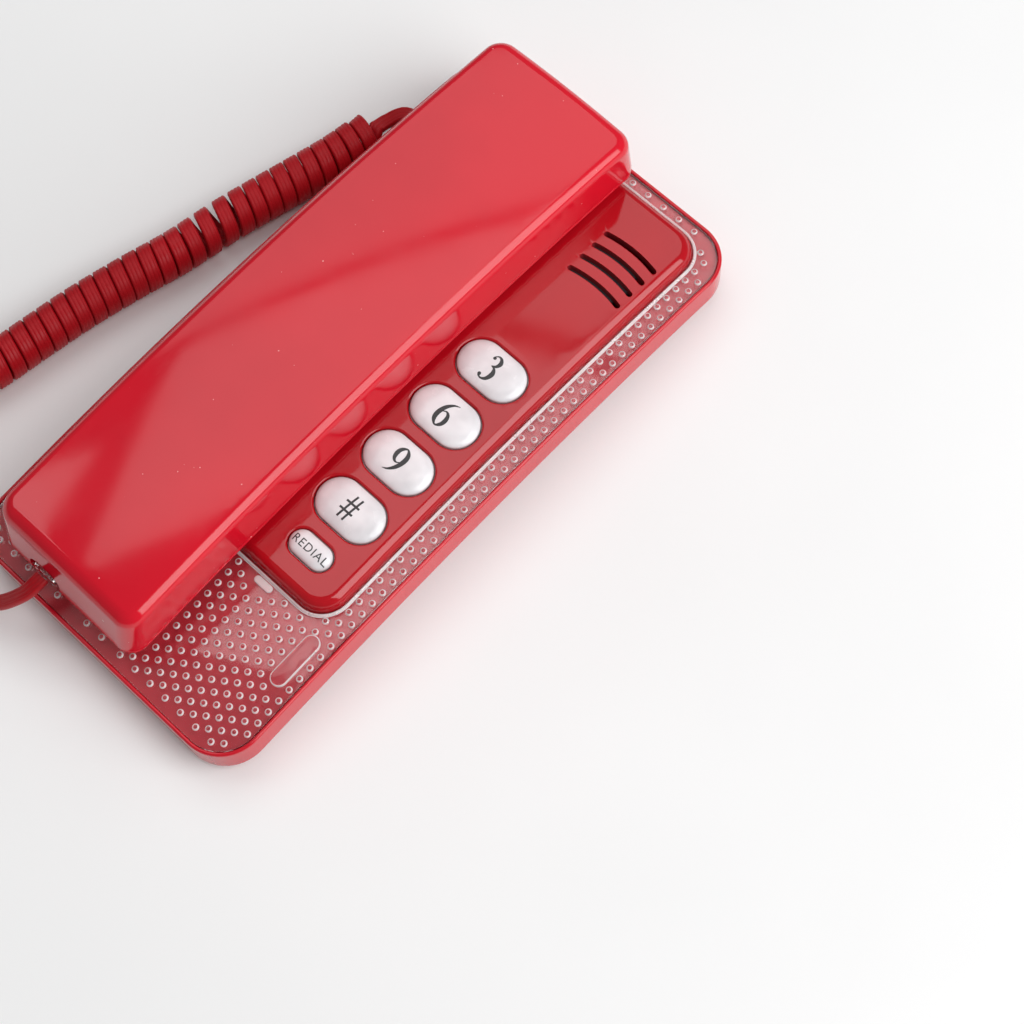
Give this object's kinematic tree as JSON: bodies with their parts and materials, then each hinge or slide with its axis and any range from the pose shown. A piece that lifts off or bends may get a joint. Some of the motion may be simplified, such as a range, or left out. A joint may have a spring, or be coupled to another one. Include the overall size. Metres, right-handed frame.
{
  "type": "slimline wall phone",
  "caption": "Slim corded wall phone in glossy red with a clear dimpled cover, pearl push-button keys, a lift-off handset and a curly cord.",
  "frame": {"origin": "centre of the phone's own footprint, on the surface it rests on (the cord is left out of the box)", "axes": "+X towards the phone's right side, +Y towards its earpiece end, +Z out of its front face"},
  "size_m": [0.1464, 0.2195, 0.0443],
  "materials": {
    "red_shell": "glossy injection-moulded red plastic",
    "clear_plastic": "clear moulded plastic with a dimpled surface",
    "pearl_key": "pearl white satin plastic with black printed figures",
    "red_cord": "satin red flexible cord jacket",
    "plug_plastic": "clear modular plug body",
    "dark_plastic": "matte black plastic",
    "grey_rubber": "matte grey rubber",
    "steel": "plated steel",
    "circuit_board": "green laminate"
  },
  "bodies": {
    "base": {"case_screw_1": "steel", "case_screw_2": "steel", "case_screw_3": "steel", "case_screw_4": "steel", "clear_cover": "clear_plastic", "cord_coil": "red_cord", "cord_jack": "dark_plastic", "cord_plug_base": "plug_plastic", "cord_tail_base": "red_cord", "cord_tail_handset": "red_cord", "foot_1": "grey_rubber", "foot_2": "grey_rubber", "foot_3": "grey_rubber", "foot_4": "grey_rubber", "front_housing": "red_shell", "hook_switch": "dark_plastic", "keypad_membrane": "grey_rubber", "line_jack": "dark_plastic", "main_circuit_board": "circuit_board", "rear_housing": "red_shell", "ringer_buzzer": "dark_plastic"},
    "handset": {"handset_ear_shell": "red_shell", "handset_grip_shell": "red_shell", "handset_jack": "dark_plastic", "handset_mouth_shell": "red_shell", "handset_screw_1": "steel", "handset_screw_2": "steel", "handset_upper_shell": "red_shell", "handset_weight": "steel", "receiver_capsule": "dark_plastic", "microphone_capsule": "steel", "cord_plug_handset": "plug_plastic"},
    "hook_plunger": {"hook_plunger": "red_shell"},
    "key_0": {"key_0": "pearl_key"},
    "key_1": {"key_1": "pearl_key"},
    "key_2": {"key_2": "pearl_key"},
    "key_3": {"key_3": "pearl_key"},
    "key_4": {"key_4": "pearl_key"},
    "key_5": {"key_5": "pearl_key"},
    "key_6": {"key_6": "pearl_key"},
    "key_7": {"key_7": "pearl_key"},
    "key_8": {"key_8": "pearl_key"},
    "key_9": {"key_9": "pearl_key"},
    "key_hash": {"key_hash": "pearl_key"},
    "key_mute": {"key_mute": "pearl_key"},
    "key_pause": {"key_pause": "pearl_key"},
    "key_redial": {"key_redial": "pearl_key"},
    "key_star": {"key_star": "pearl_key"}
  },
  "joints": [
    {"name": "handset_lift", "type": "slide", "parent": "base", "child": "handset", "axis": [0, 0, 1], "range_m": [0, 0.06]},
    {"name": "hook_travel", "type": "slide", "parent": "base", "child": "hook_plunger", "axis": [0, 0, 1], "range_m": [0, 0.003]},
    {"name": "key_0_press", "type": "slide", "parent": "base", "child": "key_0", "axis": [0, 0, -1], "range_m": [0, 0.0012], "stiffness_N_per_m": 500},
    {"name": "key_1_press", "type": "slide", "parent": "base", "child": "key_1", "axis": [0, 0, -1], "range_m": [0, 0.0012], "stiffness_N_per_m": 500},
    {"name": "key_2_press", "type": "slide", "parent": "base", "child": "key_2", "axis": [0, 0, -1], "range_m": [0, 0.0012], "stiffness_N_per_m": 500},
    {"name": "key_3_press", "type": "slide", "parent": "base", "child": "key_3", "axis": [0, 0, -1], "range_m": [0, 0.0012], "stiffness_N_per_m": 500},
    {"name": "key_4_press", "type": "slide", "parent": "base", "child": "key_4", "axis": [0, 0, -1], "range_m": [0, 0.0012], "stiffness_N_per_m": 500},
    {"name": "key_5_press", "type": "slide", "parent": "base", "child": "key_5", "axis": [0, 0, -1], "range_m": [0, 0.0012], "stiffness_N_per_m": 500},
    {"name": "key_6_press", "type": "slide", "parent": "base", "child": "key_6", "axis": [0, 0, -1], "range_m": [0, 0.0012], "stiffness_N_per_m": 500},
    {"name": "key_7_press", "type": "slide", "parent": "base", "child": "key_7", "axis": [0, 0, -1], "range_m": [0, 0.0012], "stiffness_N_per_m": 500},
    {"name": "key_8_press", "type": "slide", "parent": "base", "child": "key_8", "axis": [0, 0, -1], "range_m": [0, 0.0012], "stiffness_N_per_m": 500},
    {"name": "key_9_press", "type": "slide", "parent": "base", "child": "key_9", "axis": [0, 0, -1], "range_m": [0, 0.0012], "stiffness_N_per_m": 500},
    {"name": "key_hash_press", "type": "slide", "parent": "base", "child": "key_hash", "axis": [0, 0, -1], "range_m": [0, 0.0012], "stiffness_N_per_m": 500},
    {"name": "key_mute_press", "type": "slide", "parent": "base", "child": "key_mute", "axis": [0, 0, -1], "range_m": [0, 0.0012], "stiffness_N_per_m": 500},
    {"name": "key_pause_press", "type": "slide", "parent": "base", "child": "key_pause", "axis": [0, 0, -1], "range_m": [0, 0.0012], "stiffness_N_per_m": 500},
    {"name": "key_redial_press", "type": "slide", "parent": "base", "child": "key_redial", "axis": [0, 0, -1], "range_m": [0, 0.0012], "stiffness_N_per_m": 500},
    {"name": "key_star_press", "type": "slide", "parent": "base", "child": "key_star", "axis": [0, 0, -1], "range_m": [0, 0.0012], "stiffness_N_per_m": 500}
  ],
  "couplings": [
    {"joint": "hook_travel", "follows": "handset_lift", "ratio": 0.05}
  ]
}
